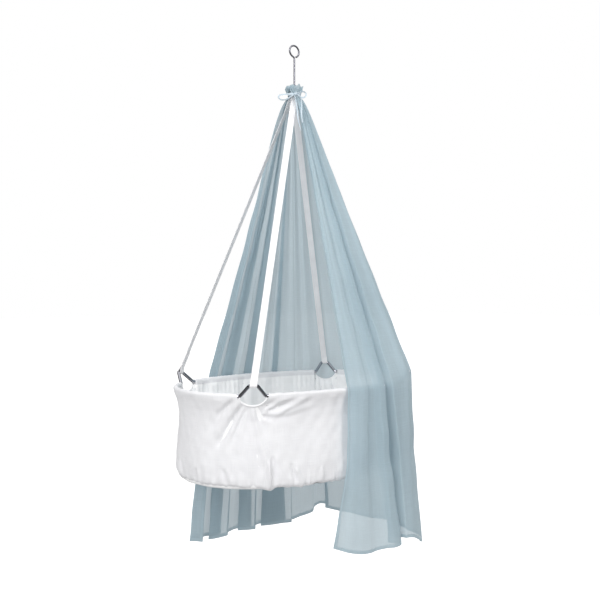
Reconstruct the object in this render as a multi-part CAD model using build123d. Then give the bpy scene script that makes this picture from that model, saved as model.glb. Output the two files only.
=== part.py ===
from build123d import *
import os
from math import asin, atan2, cos, degrees, pi, radians, sin, sqrt, tan

# A cradle that hangs from one ceiling hook: a steel rim on four straps, a fabric bag with a board
# and a mattress in it, and a voile canopy tied round the top of the straps.
# Millimetres. The origin is the centre of the hang eye, +Z is up, +X runs along the cradle and
# +Y towards its far side. The canopy covers the right end (+X).

# ---------------------------------------------------------------- hanger rod and link
ROD_D = 6.0                 # round steel rod
EYE_R = 20.0                # centreline radius of the eye that the ceiling hook goes through
EYE_NECK_R = 8.0            # bend between the shank and that eye
EYE_END = -70.0             # where the bent rod stops, beside the shank (degrees)
LOWER_EYE_R = 8.5
LOWER_EYE_NECK_R = 4.5
LOWER_EYE_END = -38.0
LOWER_EYE_Z = -128.0        # centre of the lower eye

LINK_D = 5.0                # wire of the rectangular link
LINK_CORNER_R = 5.0
LINK_INNER_W = 29.0         # clear width between its sides
LINK_H = 18.3               # height between its bars' centrelines
LINK_PLAY = 0.3             # the link's top bar above the lower eye's wire
LINK_TOP_Z = LOWER_EYE_Z - LOWER_EYE_R + (ROD_D + LINK_D) / 2 + LINK_PLAY
LINK_BAR_Z = LINK_TOP_Z - LINK_H

# ---------------------------------------------------------------- rim tube with four peaks
RIM_D = 11.0                # chromed steel tube
RIM_Z = -1162.0             # centreline of the tube
RIM_LENGTH = 865.0          # between centrelines
RIM_WIDTH = 540.0
END_R = 242.0               # the four-arc oval's end arcs
END_X = RIM_LENGTH / 2 - END_R
HALF_W = RIM_WIDTH / 2
SIDE_R = (END_X**2 + HALF_W**2 - END_R**2) / (2 * (HALF_W - END_R))
SIDE_Y = SIDE_R - HALF_W    # the side arcs' centres, across the middle
TURN = degrees(atan2(SIDE_Y, END_X))    # where an end arc meets a side arc

PEAK_ANGLE = 59.6           # direction of a peak, round its end arc
PEAK_HEIGHT = 47.2          # of the peak's centreline, in its own leaning plane
PEAK_LEAN = 39.4            # of that plane, outward from upright
PEAK_FOOT = 39.0            # half the distance between the feet
PEAK_TOP = 11.0             # half the distance between the top's two corners
PEAK_FOOT_RUN = 7.4
PEAK_FOOT_R = 12.0
PEAK_TOP_R = 14.0
PEAK_SPAN = degrees(asin((PEAK_FOOT + PEAK_FOOT_RUN) / END_R))
CORNERS = {"left_near": (-1, -1), "left_far": (-1, 1), "right_near": (1, -1), "right_far": (1, 1)}

# ---------------------------------------------------------------- straps
STRAP_W = 22.0
STRAP_T = 1.5
STRAP_PLAY = 0.5            # between two layers
LOOP_R = 9.8                # inside a sewn loop, round the peak's tube
LOOP_LENGTH = 35.0          # from the tube to where the loop's two sides meet
LAP_LENGTH = 40.0           # the double, stitched length above that
LAP_GAP = 0.1               # between its two layers
LOOP_TIP_R = 0.2            # rounding where the loop's two sides meet

# ---------------------------------------------------------------- bag
CASING_R = 8.5              # the casing round the rim tube
CASING_BORE = RIM_D / 2 + 0.3
WALL_T = 2.0
LINING_T = 1.5
GAP = 0.3
WALL_TOP_Z = RIM_Z - CASING_R - 0.2
BAG_DEPTH = 288.0           # rim centreline to the underside
BOTTOM_Z = RIM_Z - BAG_DEPTH
# height above the underside and offset of the wall from the rim's oval
WALL_SHAPE = [(BAG_DEPTH - CASING_R - 0.2, 0.0), (205.0, -11.0), (120.0, -6.0),
              (25.0, -1.0), (5.0, -6.0), (0.0, -14.0)]
CUT_HALF_W = 42.0           # the rounded cut-out under each peak
CUT_DEPTH = 30.0
BINDING_W = 7.0
BINDING_T = 1.0
CLOSURE_W = 20.0
CLOSURE_T = 1.3

# ---------------------------------------------------------------- board and mattress
BOARD_T = 9.0
BOARD_INSET = 27.0          # from the rim's oval
BOARD_ROUND = 2.0
VENT_D = 20.0
VENT_PITCH_X = 130.0
VENT_PITCH_Y = 150.0
MATTRESS_T = 45.0
MATTRESS_INSET = 40.0
MATTRESS_ROUND = 12.0
COVER_T = 1.2
COVER_SLIT = (260.0, 6.0)
FLOOR_Z = BOTTOM_Z + WALL_T + GAP + LINING_T
BOARD_Z = FLOOR_Z + 0.5
MATTRESS_Z = BOARD_Z + BOARD_T + GAP

# ---------------------------------------------------------------- canopy
CLOTH_T = 3.0
COLUMNS = 40
RUFFLE_TOP_Z = -115.0
RUFFLE_R = 31.0
NECK_TOP_Z = -148.5
NECK_Z = -160.0
NECK_R = 23.5
SHOULDER_Z = RIM_Z + 36.0   # level with the peaks
SHOULDER_TAPER = 0.985      # reach of the cloth there, as a share of its reach at the rim
CLOTH_OVER_RIM = 16.5       # the cloth outside the rim's oval
CLOTH_MID_Z = -1400.0
CLOTH_MID_FLARE = 22.0
HEM_SIDE = 14.0             # hem outside the rim's oval, at the sides and at the end
HEM_END = 55.0
# bearings of the far and the near free edge at each level (degrees)
RUFFLE_SPAN = (176, -176)
NECK_TOP_SPAN = (165, -150)
NECK_SPAN = (143, -120)
SHOULDER_SPAN = (124, -95)
RIM_SPAN = (124, -91)
MID_SPAN = (127, -90)
HEM_SPAN = (132, -100)
PEAK_BULGE = 37.0           # where the cloth goes round a peak
PEAK_BULGE_FLAT = 4.0       # half its flat top and half its foot (degrees)
PEAK_BULGE_FOOT = 15.0
PEAK_BEARING = 35.4         # of a peak seen from the middle (degrees)
# (bearing, z) of the hem from the far free edge round the right end to the near one
HEM = [(132, -1765), (124, -1752), (30, -1750), (-15, -1760), (-45, -1702), (-75, -1700),
       (-90, -1684), (-100, -1658)]

# ---------------------------------------------------------------- tie tape and bow
TAPE_W = 5.0
TAPE_T = 1.2
TIE_Z = -154.0
KNOT = (-14.0, -24.5, -158.0)
KNOT_SIZE = (12.0, 9.0, 11.0)
VIEW_BEARING = 233.1        # the bow faces this way, between the near side and the left end
# Routes in the bow's own plane: to its right, outward, height
LOOP_LEFT = [(-1, 28, -158), (-12, 33, -157.5), (-26, 35, -160), (-40, 36, -161),
             (-53, 37, -164), (-56, 38, -172), (-48, 38, -180), (-34, 37, -181),
             (-20, 35, -174), (-9, 33, -165), (-1.5, 30, -160)]
LOOP_RIGHT = [(7.5, 28, -157), (16, 32, -153.5), (27, 33, -150), (37, 34, -152),
              (42, 35, -160), (38, 35, -170), (28, 35, -172.5), (18, 34, -167),
              (8.5, 31, -161)]
TAIL_LEFT = [(1, 31, -163), (2.5, 36, -172), (5.5, 40.5, -185), (8.5, 45.5, -202),
             (10, 51, -222), (11.5, 56, -243), (14.5, 60, -262), (20, 63, -279), (22.5, 65, -292)]
TAIL_RIGHT = [(6.5, 31, -161), (16, 39, -166), (23, 44, -176), (25.5, 49, -192),
              (25, 54, -211), (24, 59, -231), (25.5, 63, -250), (28, 66, -266)]

# ================================================================ helpers


def tube(path, diameter):
    """A round bar of one diameter along a path."""
    return sweep(Plane(origin=path @ 0, z_dir=path % 0) * Circle(diameter / 2), path=path)


def oval_arc(which, offset=0.0, start=None, end=None):
    """One arc of the rim's oval, all of it or from one bearing round its own centre to another."""
    centres = {"right": (END_X, 0), "far": (0, -SIDE_Y), "left": (-END_X, 0), "near": (0, SIDE_Y)}
    spans = {"right": (-TURN, TURN), "far": (TURN, 180 - TURN),
             "left": (180 - TURN, 180 + TURN), "near": (180 + TURN, 360 - TURN)}
    radius = (END_R if which in ("right", "left") else SIDE_R) + offset
    first = spans[which][0] if start is None else start
    last = spans[which][1] if end is None else end
    return CenterArc(centres[which], radius, first, last - first)


def oval(offset, z):
    """The rim's oval at a height, moved outward everywhere by offset."""
    arcs = [oval_arc(which, offset) for which in ("right", "far", "left", "near")]
    return Pos(0, 0, z) * make_face(Wire([arc.edge() for arc in arcs]))


def oval_prism(offset, z, height):
    return extrude(oval(offset, z), amount=height, dir=(0, 0, 1))


def oval_radius(bearing, offset):
    """How far the offset oval is from the middle, in one direction in degrees."""
    c, s = abs(cos(radians(bearing))), abs(sin(radians(bearing)))
    reach = END_X * c + sqrt((END_R + offset)**2 - (END_X * s)**2)
    if degrees(atan2(reach * s, reach * c - END_X)) <= TURN:
        return reach
    return sqrt((SIDE_R + offset)**2 - (SIDE_Y * c)**2) - SIDE_Y * s


def bag_layer(outer, inner):
    """A layer of the bag's wall between two offsets from its outside."""
    skin, hollow = [loft([oval(shape + offset, BOTTOM_Z + height) for height, shape in WALL_SHAPE],
                         ruled=True) for offset in (outer, inner)]
    return skin - hollow


def above(z):
    """Everything above a height, as a box larger than the bag."""
    return Pos(0, 0, z + 500) * Box(1000, 1000, 1000)


def peak_frame(corner):
    """Along, outward and place of a peak's middle on the rim."""
    sx, sy = CORNERS[corner]
    out = Vector(sx * cos(radians(PEAK_ANGLE)), sy * sin(radians(PEAK_ANGLE)), 0)
    along = Vector(-out.Y, out.X, 0)
    foot = Vector(sx * END_X, 0, RIM_Z) + out * END_R
    return along, out, foot


def peak_points(corner):
    """The two ends on the rim, the feet and the top corners of a peak's centreline."""
    along, out, foot = peak_frame(corner)
    centre = foot - out * END_R
    swing = radians(PEAK_SPAN)
    up = out * sin(radians(PEAK_LEAN)) + Vector(0, 0, cos(radians(PEAK_LEAN)))
    points = []
    for side in (-1, 1):
        start = centre + out * (END_R * cos(swing)) + along * (side * END_R * sin(swing))
        towards = out * sin(swing) - along * (side * cos(swing))
        corner_point = start + towards * PEAK_FOOT_RUN
        top = foot - out * (END_R * (1 - cos(swing))) + up * PEAK_HEIGHT + along * (side * PEAK_TOP)
        points.append((start, corner_point, top))
    (a, b, c), (f, e, d) = points
    return [a, b, c, d, e, f]


def cut_out(corner, grow, depth=60.0):
    """The rounded cut-out under one peak as a bar that runs outward through the wall."""
    along, out, foot = peak_frame(corner)
    plane = Plane(origin=foot - out * depth / 2, x_dir=along, z_dir=out)
    return extrude(plane * Ellipse(CUT_HALF_W + grow, CUT_DEPTH + grow), amount=depth)


def quad_faces(a, b, c, d):
    """Two flat triangles over four points."""
    return [make_face(Polyline(a, b, c, close=True)), make_face(Polyline(a, c, d, close=True))]


def sheet_solid(grid_out, grid_in):
    """A closed solid between two grids of points, as a sheet of cloth with a thickness."""
    faces = []
    rows, cols = len(grid_out), len(grid_out[0])
    for i in range(rows - 1):
        for j in range(cols - 1):
            faces += quad_faces(grid_out[i][j], grid_out[i][j + 1],
                                grid_out[i + 1][j + 1], grid_out[i + 1][j])
            faces += quad_faces(grid_in[i][j], grid_in[i][j + 1],
                                grid_in[i + 1][j + 1], grid_in[i + 1][j])
        for j in (0, cols - 1):
            faces += quad_faces(grid_out[i][j], grid_in[i][j], grid_in[i + 1][j], grid_out[i + 1][j])
    for i in (0, rows - 1):
        for j in range(cols - 1):
            faces += quad_faces(grid_out[i][j], grid_in[i][j], grid_in[i][j + 1], grid_out[i][j + 1])
    return Solid(Shell([f.face() for f in faces]))


# ================================================================ hanger and link


def eye_edges(plane, radius, neck, end):
    """An open bent eye in a plane, its centre at the plane's origin and its shank below it."""
    drop = sqrt(radius**2 + 2 * radius * neck)
    lean = degrees(atan2(drop, neck))
    bend = CenterArc((-neck, -drop), neck, 0, lean)
    ring = CenterArc((0, 0), radius, 180 + lean, end - 180 - lean)
    return [plane * bend, plane * ring], drop


def hanger_rod():
    top = Plane.XZ
    low = Plane(origin=(0, 0, LOWER_EYE_Z), x_dir=(0, 1, 0), z_dir=(-1, 0, 0))
    top_edges, top_drop = eye_edges(top, EYE_R, EYE_NECK_R, EYE_END)
    low_edges, low_drop = eye_edges(low, LOWER_EYE_R, LOWER_EYE_NECK_R, LOWER_EYE_END)
    shank = Line((0, 0, LOWER_EYE_Z + low_drop), (0, 0, -top_drop))
    rod = tube(shank, ROD_D)
    for edge in top_edges + low_edges:
        rod += tube(edge, ROD_D)
    return rod


def strap_link():
    width = LINK_INNER_W + LINK_D
    path = Plane.XZ * RectangleRounded(width, LINK_H, LINK_CORNER_R)
    ring = None
    for edge in path.face().outer_wire().edges():
        ring = tube(edge, LINK_D) if ring is None else ring + tube(edge, LINK_D)
    return Pos(0, 0, (LINK_TOP_Z + LINK_BAR_Z) / 2) * ring


# ================================================================ rim tube


def rim_frame():
    """One closed tube: eight stretches of the oval and the four peaks between them."""
    side = PEAK_ANGLE + PEAK_SPAN
    end = PEAK_ANGLE - PEAK_SPAN
    level = Pos(0, 0, RIM_Z)
    paths = [oval_arc("far"), oval_arc("near"), oval_arc("right", 0, -end, end),
             oval_arc("left", 0, 180 - end, 180 + end),
             oval_arc("right", 0, side, TURN), oval_arc("right", 0, -TURN, -side),
             oval_arc("left", 0, 180 - TURN, 180 - side), oval_arc("left", 0, 180 + side, 180 + TURN)]
    paths = [level * path for path in paths]
    radii = [PEAK_FOOT_R, PEAK_TOP_R, PEAK_TOP_R, PEAK_FOOT_R]
    for corner in CORNERS:
        paths.append(FilletPolyline(*peak_points(corner), radius=radii))
    frame = tube(paths[0], RIM_D)
    for path in paths[1:]:
        frame += tube(path, RIM_D)
    return frame


# ================================================================ straps


def strap_leg(corner, saddle_r, side):
    """One half of a strap: from beside the link's bar down to the loop round a peak."""
    along, out, foot = peak_frame(corner)
    points = peak_points(corner)
    peak = (points[2] + points[3]) * 0.5
    wide = along if along.X > 0 else -along
    top = Vector(0, side * (saddle_r + STRAP_T / 2), LINK_BAR_Z)
    pull = (top - peak).normalized()
    pull = (pull - wide * pull.dot(wide)).normalized()
    section = Plane(origin=peak, x_dir=pull, z_dir=wide)
    outer_r = LOOP_R + STRAP_T
    lap_half = STRAP_T + LAP_GAP / 2
    outside = make_hull(Circle(outer_r).edges()
                        + (Pos(LOOP_LENGTH, 0) * Rectangle(1, 2 * lap_half)).edges())
    inside = make_hull(Circle(LOOP_R).edges() + (Pos(LOOP_LENGTH - 2, 0) * Circle(LOOP_TIP_R)).edges())
    lap = Pos(LOOP_LENGTH + LAP_LENGTH / 2, 0) * Rectangle(LAP_LENGTH, 2 * lap_half)
    loop = extrude(section * (outside - inside + lap), amount=STRAP_W / 2, both=True)
    start = peak + pull * (LOOP_LENGTH + LAP_LENGTH - 1)
    low = Plane(origin=start, x_dir=wide, z_dir=pull) * Rectangle(STRAP_W, STRAP_T)
    high = Plane(origin=top, x_dir=(1, 0, 0), z_dir=(0, 0, 1)) * Rectangle(STRAP_W, STRAP_T)
    return loop + loft([low, high], ruled=True)


def strap(corner_near, corner_far, layer):
    """A strap that goes over the link's bar from a near peak to the far one across from it."""
    inner = LINK_D / 2 + 0.1 + layer * (STRAP_T + STRAP_PLAY)
    ring = Circle(inner + STRAP_T) - Circle(inner) - Pos(0, -50) * Rectangle(100, 100)
    saddle = extrude(Plane.YZ * ring, amount=STRAP_W / 2, both=True)
    body = Pos(0, 0, LINK_BAR_Z) * saddle
    body += strap_leg(corner_near, inner, -1)
    body += strap_leg(corner_far, inner, 1)
    return body


# ================================================================ bag


def casing(kind):
    """The padded casing round one stretch of the rim, from peak to peak."""
    side = PEAK_ANGLE + PEAK_SPAN
    end = PEAK_ANGLE - PEAK_SPAN
    arcs = {"far": [oval_arc("right", 0, side, TURN), oval_arc("far"),
                    oval_arc("left", 0, 180 - TURN, 180 - side)],
            "near": [oval_arc("left", 0, 180 + side, 180 + TURN), oval_arc("near"),
                     oval_arc("right", 0, -TURN, -side)],
            "right": [oval_arc("right", 0, -end, end)],
            "left": [oval_arc("left", 0, 180 - end, 180 + end)]}[kind]
    body = None
    for path in [Pos(0, 0, RIM_Z) * arc for arc in arcs]:
        sleeve = tube(path, 2 * CASING_R) - tube(path, 2 * CASING_BORE)
        body = sleeve if body is None else body + sleeve
    return body


def outer_wall():
    wall = bag_layer(0.0, -WALL_T)
    for corner in CORNERS:
        wall -= cut_out(corner, 0.0)
    return wall


def bottom_panel():
    return oval_prism(WALL_SHAPE[-1][1] - WALL_T - GAP, BOTTOM_Z, WALL_T)


def lining():
    outer = -WALL_T - GAP
    floor_z = BOTTOM_Z + WALL_T + GAP
    body = bag_layer(outer, outer - LINING_T) & above(floor_z)
    slope = (WALL_SHAPE[-2][1] - WALL_SHAPE[-1][1]) / WALL_SHAPE[-2][0]
    body += oval_prism(WALL_SHAPE[-1][1] + slope * (WALL_T + GAP) + outer - GAP, floor_z, LINING_T)
    for corner in CORNERS:
        body -= cut_out(corner, 0.0)
    return body


def binding(corner, wall, inner):
    """The tape folded over the edge of one cut-out, wall and lining together."""
    layer = bag_layer(BINDING_T, -WALL_T - GAP - LINING_T - BINDING_T)
    band = cut_out(corner, BINDING_W) - cut_out(corner, -BINDING_T)
    return (layer & band) - wall - inner


def casing_closures():
    """Touch tape that closes each casing, on the bag's inside just under the rim."""
    outer = -WALL_T - GAP - LINING_T - 0.2
    band = bag_layer(outer, outer - CLOSURE_T) & above(WALL_TOP_Z - CLOSURE_W)
    for corner in CORNERS:
        band -= cut_out(corner, BINDING_W + 3.0, 90.0)
    return band


# ================================================================ board and mattress


def base_board():
    board = oval_prism(-BOARD_INSET, BOARD_Z, BOARD_T)
    rims = board.faces().sort_by(Axis.Z)
    board = fillet(rims[0].edges() + rims[-1].edges(), BOARD_ROUND)
    for i in range(-2, 3):
        for j in (-1, 0, 1):
            board -= Pos(i * VENT_PITCH_X, j * VENT_PITCH_Y, BOARD_Z + BOARD_T / 2) * Cylinder(
                VENT_D / 2, 2 * BOARD_T)
    return board


def pad(inset, z, height, rounding):
    """An oval pad with rounded edges."""
    body = oval_prism(-inset, z, height)
    rims = body.faces().sort_by(Axis.Z)
    return fillet(rims[0].edges() + rims[-1].edges(), rounding)


def mattress():
    """The foam core and the cover round it, open at a slit underneath."""
    core = pad(MATTRESS_INSET, MATTRESS_Z + COVER_T + 0.1, MATTRESS_T, MATTRESS_ROUND)
    room = pad(MATTRESS_INSET - 0.1, MATTRESS_Z + COVER_T, MATTRESS_T + 0.2, MATTRESS_ROUND)
    cover = pad(MATTRESS_INSET - 0.1 - COVER_T, MATTRESS_Z, MATTRESS_T + 0.2 + 2 * COVER_T,
                MATTRESS_ROUND + COVER_T)
    slit = Pos(0, 0, MATTRESS_Z) * Box(*COVER_SLIT, 4 * COVER_T)
    return core, cover - room - slit


# ================================================================ canopy


def between(table, value):
    """The second number of a table of pairs, at a value of the first, along straight lines."""
    for (a, za), (b, zb) in zip(table, table[1:]):
        if min(a, b) <= value <= max(a, b):
            return za + (zb - za) * (value - a) / (b - a)
    return table[0][1] if abs(value - table[0][0]) < abs(value - table[-1][0]) else table[-1][1]


def bulge(bearing, amount):
    """How much further out the cloth stands where it goes round the peaks at the right end."""
    away = min(abs(bearing - PEAK_BEARING), abs(bearing + PEAK_BEARING))
    slope = (PEAK_BULGE_FOOT - away) / (PEAK_BULGE_FOOT - PEAK_BULGE_FLAT)
    return amount * min(1.0, max(0.0, slope))


def canopy_levels(share):
    """Bearing, distance and height of the cloth at each level, at a share of its width."""
    def bearing(span):
        return span[0] + (span[1] - span[0]) * share

    def flare(angle, side, end):
        return side + (end - side) * max(0, cos(radians(angle)))
    rows = [(bearing(RUFFLE_SPAN), RUFFLE_R, RUFFLE_TOP_Z),
            (bearing(NECK_TOP_SPAN), NECK_R, NECK_TOP_Z),
            (bearing(NECK_SPAN), NECK_R, NECK_Z)]
    angle = bearing(SHOULDER_SPAN)
    reach = oval_radius(angle, CLOTH_OVER_RIM) * SHOULDER_TAPER
    rows.append((angle, reach + bulge(angle, PEAK_BULGE), SHOULDER_Z))
    angle = bearing(RIM_SPAN)
    rows.append((angle, oval_radius(angle, CLOTH_OVER_RIM) + bulge(angle, PEAK_BULGE - 3), RIM_Z))
    angle = bearing(MID_SPAN)
    reach = oval_radius(angle, flare(angle, CLOTH_OVER_RIM, CLOTH_MID_FLARE))
    rows.append((angle, reach + bulge(angle, PEAK_BULGE - 8), CLOTH_MID_Z))
    angle = bearing(HEM_SPAN)
    rows.append((angle, oval_radius(angle, flare(angle, HEM_SIDE, HEM_END)), between(HEM, angle)))
    return rows


def canopy():
    columns = [canopy_levels(j / (COLUMNS - 1)) for j in range(COLUMNS)]
    grids = []
    for depth in (0.0, CLOTH_T):
        grids.append([[Vector((r - depth) * cos(radians(a)), (r - depth) * sin(radians(a)), z)
                       for a, r, z in (column[i] for column in columns)]
                      for i in range(len(columns[0]))])
    return sheet_solid(*grids)


# ================================================================ tie tape


def bow_point(point):
    """A point of the bow's own plane in the part's frame."""
    right, outward, z = point
    a = radians(VIEW_BEARING)
    return Vector(outward * cos(a) - right * sin(a), outward * sin(a) + right * cos(a), z)


def bow_tape(route):
    """A tube along a route of straight runs and arcs as large as the runs allow."""
    points = [bow_point(p) for p in route]
    radii = []
    for a, b, c in zip(points, points[1:], points[2:]):
        turn = radians((b - a).get_angle(c - b))
        shorter = min((b - a).length, (c - b).length)
        radii.append(0.45 * shorter / tan(turn / 2))
    path = FilletPolyline(*points, radius=radii)
    body = tube(path, TAPE_W)
    expected = pi * (TAPE_W / 2)**2 * path.length
    print(f"tape {path.length:.1f} mm, smallest bend {min(radii):.1f} mm, "
          f"volume {body.volume / expected:.3f} of section times length")
    return body


def tie_wrap():
    """Two turns of the tape round the canopy's neck."""
    turn = Cylinder(NECK_R + TAPE_T, TAPE_W) - Cylinder(NECK_R + 0.05, TAPE_W)
    return Compound(children=[Pos(0, 0, TIE_Z + side * (TAPE_W / 2 + 0.1)) * turn for side in (-1, 1)])


def tie_knot():
    a = radians(VIEW_BEARING)
    lump = Sphere(1)
    size = Vector(*KNOT_SIZE) / 2
    body = scale(lump, by=(size.X, size.Y, size.Z))
    out = Vector(cos(a), sin(a), 0)
    plane = Plane(origin=KNOT, x_dir=(-out.Y, out.X, 0), z_dir=(0, 0, 1))
    return plane * body


# ================================================================ write


def main():
    os.makedirs("parts", exist_ok=True)
    wall = outer_wall()
    inner = lining()
    core, cover = mattress()
    nodes = {
        "hanger_rod": hanger_rod(),
        "strap_link": strap_link(),
        "strap_inner": strap("left_near", "right_far", 0),
        "strap_outer": strap("right_near", "left_far", 1),
        "rim_frame": rim_frame(),
        "outer_wall": wall,
        "bottom_panel": bottom_panel(),
        "lining": inner,
        "casing_closures": casing_closures(),
        "base_board": base_board(),
        "mattress_core": core,
        "mattress_cover": cover,
        "canopy": canopy(),
        "tie_wrap": tie_wrap(),
        "tie_knot": tie_knot(),
        "bow_loop_left": bow_tape(LOOP_LEFT),
        "bow_loop_right": bow_tape(LOOP_RIGHT),
        "tie_tail_left": bow_tape(TAIL_LEFT),
        "tie_tail_right": bow_tape(TAIL_RIGHT),
    }
    for kind in ("near", "far", "left", "right"):
        nodes[f"rim_casing_{kind}"] = casing(kind)
    for corner in CORNERS:
        nodes[f"cut_binding_{corner}"] = binding(corner, wall, inner)
    for name, shape in nodes.items():
        export_step(shape, f"parts/{name}.step")


main()
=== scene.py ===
import math

import bmesh
import bpy
import numpy as np
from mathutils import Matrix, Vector


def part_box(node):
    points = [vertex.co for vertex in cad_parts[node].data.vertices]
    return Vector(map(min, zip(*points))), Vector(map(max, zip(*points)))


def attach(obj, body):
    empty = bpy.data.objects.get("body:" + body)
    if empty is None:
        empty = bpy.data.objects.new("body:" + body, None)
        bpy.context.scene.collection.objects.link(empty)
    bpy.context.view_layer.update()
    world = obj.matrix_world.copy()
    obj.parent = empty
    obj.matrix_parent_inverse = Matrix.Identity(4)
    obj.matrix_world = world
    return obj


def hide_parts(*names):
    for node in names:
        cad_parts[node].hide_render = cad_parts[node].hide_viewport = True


# The looks of a hanging baby cradle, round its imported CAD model. Metres, in the CAD's frame: the
# hang eye's centre is the origin, +Z is up, +X runs along the cradle to the end that the canopy
# covers, and +Y is the far side. Metal, wood and the touch tape are the CAD's own shapes; the cloth,
# the bag, the straps, the tapes and the mattress are made here.

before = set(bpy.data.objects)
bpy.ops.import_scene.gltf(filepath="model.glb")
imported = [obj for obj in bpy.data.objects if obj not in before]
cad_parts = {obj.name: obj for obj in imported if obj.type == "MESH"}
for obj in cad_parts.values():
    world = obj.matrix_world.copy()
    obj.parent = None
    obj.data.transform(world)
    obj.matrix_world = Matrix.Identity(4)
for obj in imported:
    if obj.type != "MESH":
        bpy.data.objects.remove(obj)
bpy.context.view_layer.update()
MM = 0.001

# ======== sizes of the frame
LINK_BAR_Z = -0.149
RIM_R = 0.0055              # of the rim's tube
RIM_Z = -1.162
RIM_LONG, RIM_WIDE = 0.865, 0.540
END_R = 0.242               # of the arcs at the rim's two ends
END_X = RIM_LONG / 2 - END_R
HALF_W = RIM_WIDE / 2
SIDE_R = (END_X**2 + HALF_W**2 - END_R**2) / (2 * (HALF_W - END_R))
SIDE_Y = SIDE_R - HALF_W
TURN = math.atan2(SIDE_Y, END_X)
SIDE_ARC = SIDE_R * (math.pi / 2 - TURN)
END_ARC = END_R * 2 * TURN
RIM_LENGTH = 4 * SIDE_ARC + 2 * END_ARC
PEAK_ANGLE = math.radians(59.6)
PEAK_HEIGHT = 0.0472
PEAK_HALF_W = 0.0464
PEAK_LEAN = math.radians(39.4)
PEAK_SPAN = math.asin(PEAK_HALF_W / END_R)
RIGHT_END = SIDE_ARC                        # where the end arcs start, along the rim
LEFT_END = 3 * SIDE_ARC + END_ARC
PEAKS = {"right_far": RIGHT_END + (TURN - PEAK_ANGLE) * END_R,
         "right_near": RIGHT_END + (TURN + PEAK_ANGLE) * END_R,
         "left_near": LEFT_END + (TURN - PEAK_ANGLE) * END_R,
         "left_far": LEFT_END + (TURN + PEAK_ANGLE) * END_R}
CORNERS = {"left_near": (-1, -1), "left_far": (-1, 1), "right_near": (1, -1), "right_far": (1, 1)}

# ======== geometry helpers


def rim(s):
    """x, y and outward direction on the rim, s clockwise from the middle of the far side."""
    s = np.asarray(s, float) % RIM_LENGTH
    ends = [SIDE_ARC, SIDE_ARC + END_ARC, LEFT_END, LEFT_END + END_ARC]
    where = np.searchsorted(ends, s, side="right")
    start = np.array([0.0] + ends)[where]
    angle0 = np.array([math.pi / 2, TURN, -TURN, TURN - math.pi, -math.pi - TURN])[where]
    radius = np.array([SIDE_R, END_R, SIDE_R, END_R, SIDE_R])[where]
    cx = np.array([0, END_X, 0, -END_X, 0])[where]
    cy = np.array([-SIDE_Y, 0, SIDE_Y, 0, -SIDE_Y])[where]
    angle = angle0 - (s - start) / radius
    nx, ny = np.cos(angle), np.sin(angle)
    return cx + radius * nx, cy + radius * ny, nx, ny


def on_rim(s, out, z):
    """Points outward of the rim by out, at heights z."""
    s, out, z = np.broadcast_arrays(np.asarray(s, float), np.asarray(out, float),
                                    np.asarray(z, float))
    x, y, nx, ny = rim(s)
    return np.stack([x + nx * out, y + ny * out, z], -1)


def short_way(gap):
    """A distance along the rim, taken the short way round."""
    return (gap + RIM_LENGTH / 2) % RIM_LENGTH - RIM_LENGTH / 2


def waves(u, length, seed, count=7, loop=None):
    """Smooth random waves along u, mostly between -1 and 1; they close on themselves over loop."""
    rng = np.random.default_rng(seed)
    total = np.zeros_like(np.asarray(u, float))
    for _ in range(count):
        number = 1 / (length * rng.uniform(0.65, 1.6))
        if loop:
            number = round(number * loop) / loop
        total += np.sin(2 * math.pi * number * u + rng.uniform(0, 2 * math.pi))
    return total / math.sqrt(count)


def waves2(u, v, length, seed, count=9, loop=None):
    """The same over a surface, running in all directions."""
    rng = np.random.default_rng(seed)
    total = np.zeros(np.broadcast(u, v).shape)
    for _ in range(count):
        turn = rng.uniform(0, math.pi)
        number = 1 / (length * rng.uniform(0.7, 1.5))
        along = number * math.cos(turn)
        if loop:
            along = round(along * loop) / loop
        total += np.sin(2 * math.pi * (along * u + number * math.sin(turn) * v)
                        + rng.uniform(0, 2 * math.pi))
    return total / math.sqrt(count)


def step(x, low, high):
    """0 below low, 1 above high and smooth between."""
    t = np.clip((x - low) / (high - low), 0, 1)
    return t * t * (3 - 2 * t)


def smoothed(values, width):
    """Rows blurred into each other by a bell that is width rows wide."""
    reach = int(3 * width) + 1
    bell = np.exp(-0.5 * (np.arange(-reach, reach + 1) / width)**2)
    bell /= bell.sum()
    pads = [(reach, reach)] + [(0, 0)] * (values.ndim - 1)
    padded = np.pad(values, pads, mode="reflect", reflect_type="odd")
    return np.apply_along_axis(lambda line: np.convolve(line, bell, "valid"), 0, padded)


def lengths(points):
    """How far along a line each of its points is, or how far down a grid each row is on average."""
    gaps = np.linalg.norm(np.diff(points, axis=0), axis=-1)
    return np.concatenate([[0], gaps.reshape(len(gaps), -1).mean(1).cumsum()])


def spread(across, down):
    """The cloth coordinates of a grid."""
    return np.stack(np.broadcast_arrays(across[None, :], down[:, None]), -1)


def spread_round(s, down):
    """The same for a grid that closes on itself round the rim."""
    return spread(np.append(s, s[0] + RIM_LENGTH), down)


def add_object(name, data):
    made = bpy.data.objects.new(name, data)
    bpy.context.scene.collection.objects.link(made)
    return made


def put(mesh, paint, body, slot, *nodes):
    """Makes a mesh a painted piece that rides on a body and stands for CAD nodes."""
    mesh.materials.append(paint)
    piece = add_object(mesh.name, mesh)
    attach(piece, body)
    if nodes:
        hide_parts(*nodes)
    return piece


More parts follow.
